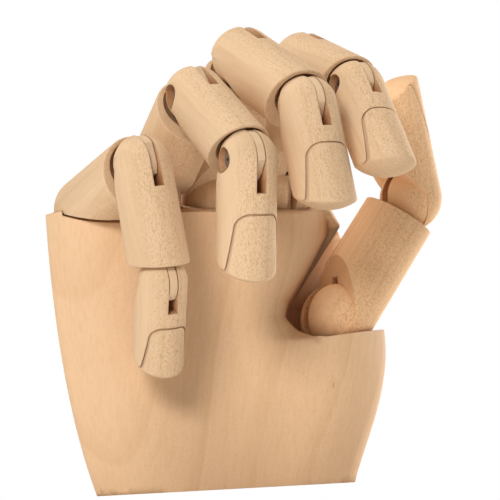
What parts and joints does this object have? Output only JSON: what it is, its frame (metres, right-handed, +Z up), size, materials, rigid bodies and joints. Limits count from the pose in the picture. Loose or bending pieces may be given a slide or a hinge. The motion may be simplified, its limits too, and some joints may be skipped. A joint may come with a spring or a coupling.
{
  "type": "jointed wooden hand",
  "caption": "Jointed wooden right hand with curled fingers that stands on its flat wrist; each segment turns on a flat tongue and a cross pivot screw.",
  "frame": {"origin": "on the flat wrist base, near its middle, below the middle finger", "axes": "+Z up from the base to the fingers, -Y the way the palm faces, +X towards the thumb"},
  "size_m": [0.0945, 0.0665, 0.1002],
  "materials": {
    "palm_wood": "satin sanded",
    "finger_wood": "satin sanded",
    "thumb_wood": "satin sanded",
    "tongue_wood": "satin sanded",
    "screw_steel": "plain zinc"
  },
  "bodies": {
    "palm": {"palm": "palm_wood", "pinky_proximal_tongue": "tongue_wood", "ring_proximal_tongue": "tongue_wood", "middle_proximal_tongue": "tongue_wood", "index_proximal_tongue": "tongue_wood", "thumb_proximal_tongue": "tongue_wood"},
    "pinky_proximal": {"pinky_proximal": "finger_wood", "pinky_proximal_screw": "screw_steel", "pinky_middle_tongue": "tongue_wood"},
    "pinky_middle": {"pinky_middle": "finger_wood", "pinky_middle_screw": "screw_steel", "pinky_distal_tongue": "tongue_wood"},
    "pinky_distal": {"pinky_distal": "finger_wood", "pinky_distal_screw": "screw_steel"},
    "ring_proximal": {"ring_proximal": "finger_wood", "ring_proximal_screw": "screw_steel", "ring_middle_tongue": "tongue_wood"},
    "ring_middle": {"ring_middle": "finger_wood", "ring_middle_screw": "screw_steel", "ring_distal_tongue": "tongue_wood"},
    "ring_distal": {"ring_distal": "finger_wood", "ring_distal_screw": "screw_steel"},
    "middle_proximal": {"middle_proximal": "finger_wood", "middle_proximal_screw": "screw_steel", "middle_middle_tongue": "tongue_wood"},
    "middle_middle": {"middle_middle": "finger_wood", "middle_middle_screw": "screw_steel", "middle_distal_tongue": "tongue_wood"},
    "middle_distal": {"middle_distal": "finger_wood", "middle_distal_screw": "screw_steel"},
    "index_proximal": {"index_proximal": "finger_wood", "index_proximal_screw": "screw_steel", "index_middle_tongue": "tongue_wood"},
    "index_middle": {"index_middle": "finger_wood", "index_middle_screw": "screw_steel", "index_distal_tongue": "tongue_wood"},
    "index_distal": {"index_distal": "finger_wood", "index_distal_screw": "screw_steel"},
    "thumb_proximal": {"thumb_proximal": "thumb_wood", "thumb_proximal_screw": "screw_steel", "thumb_distal_tongue": "tongue_wood"},
    "thumb_distal": {"thumb_distal": "thumb_wood", "thumb_distal_screw": "screw_steel"}
  },
  "joints": [
    {"name": "pinky_knuckle_hinge", "type": "hinge", "parent": "palm", "child": "pinky_proximal", "pos_m": [-0.0254, 0.0012, 0.0619], "axis": [0.9945, 0, 0.1045], "range_deg": [-77.2, 3.8]},
    {"name": "pinky_middle_hinge", "type": "hinge", "parent": "pinky_proximal", "child": "pinky_middle", "pos_m": [-0.02605, -0.0263, 0.06811], "axis": [0.9945, 0, 0.1045], "range_deg": [-99.2, 0.8]},
    {"name": "pinky_tip_hinge", "type": "hinge", "parent": "pinky_middle", "child": "pinky_distal", "pos_m": [-0.02349, -0.02784, 0.0437], "axis": [0.9945, 0, 0.1045], "range_deg": [-26, 4]},
    {"name": "ring_knuckle_hinge", "type": "hinge", "parent": "palm", "child": "ring_proximal", "pos_m": [-0.0104, 0, 0.0644], "axis": [0.9995, 0, 0.0314], "range_deg": [-55, 13]},
    {"name": "ring_middle_hinge", "type": "hinge", "parent": "ring_proximal", "child": "ring_middle", "pos_m": [-0.01098, -0.0238, 0.08298], "axis": [0.9995, 0, 0.0314], "range_deg": [-77, 13]},
    {"name": "ring_tip_hinge", "type": "hinge", "parent": "ring_middle", "child": "ring_distal", "pos_m": [-0.01049, -0.0433, 0.0672], "axis": [0.9995, 0, 0.0314], "range_deg": [-62, 4]},
    {"name": "middle_knuckle_hinge", "type": "hinge", "parent": "palm", "child": "middle_proximal", "pos_m": [0.0059, 0, 0.0644], "axis": [0.9999, 0, 0.0105], "range_deg": [-33, 30]},
    {"name": "middle_middle_hinge", "type": "hinge", "parent": "middle_proximal", "child": "middle_middle", "pos_m": [0.0056, -0.0163, 0.09263], "axis": [0.9999, 0, 0.0105], "range_deg": [-89, 6]},
    {"name": "middle_tip_hinge", "type": "hinge", "parent": "middle_middle", "child": "middle_distal", "pos_m": [0.00575, -0.04131, 0.07877], "axis": [0.9999, 0, 0.0105], "range_deg": [-47, 13]},
    {"name": "index_knuckle_hinge", "type": "hinge", "parent": "palm", "child": "index_proximal", "pos_m": [0.0222, 0, 0.0644], "axis": [0.9957, 0, -0.0924], "range_deg": [-21, 42]},
    {"name": "index_middle_hinge", "type": "hinge", "parent": "index_proximal", "child": "index_middle", "pos_m": [0.02491, -0.00952, 0.09357], "axis": [0.9957, 0, -0.0924], "range_deg": [-95, 5]},
    {"name": "index_tip_hinge", "type": "hinge", "parent": "index_middle", "child": "index_distal", "pos_m": [0.02402, -0.03207, 0.08403], "axis": [0.9957, 0, -0.0924], "range_deg": [-32, 13]},
    {"name": "thumb_base_hinge", "type": "hinge", "parent": "palm", "child": "thumb_proximal", "pos_m": [0.0317, -0.006, 0.0367], "axis": [0, -1, 0], "range_deg": [-19.5, 3]},
    {"name": "thumb_tip_hinge", "type": "hinge", "parent": "thumb_proximal", "child": "thumb_distal", "pos_m": [0.05318, -0.006, 0.0637], "axis": [0, -1, 0], "range_deg": [-48.5, 6.5]}
  ]
}
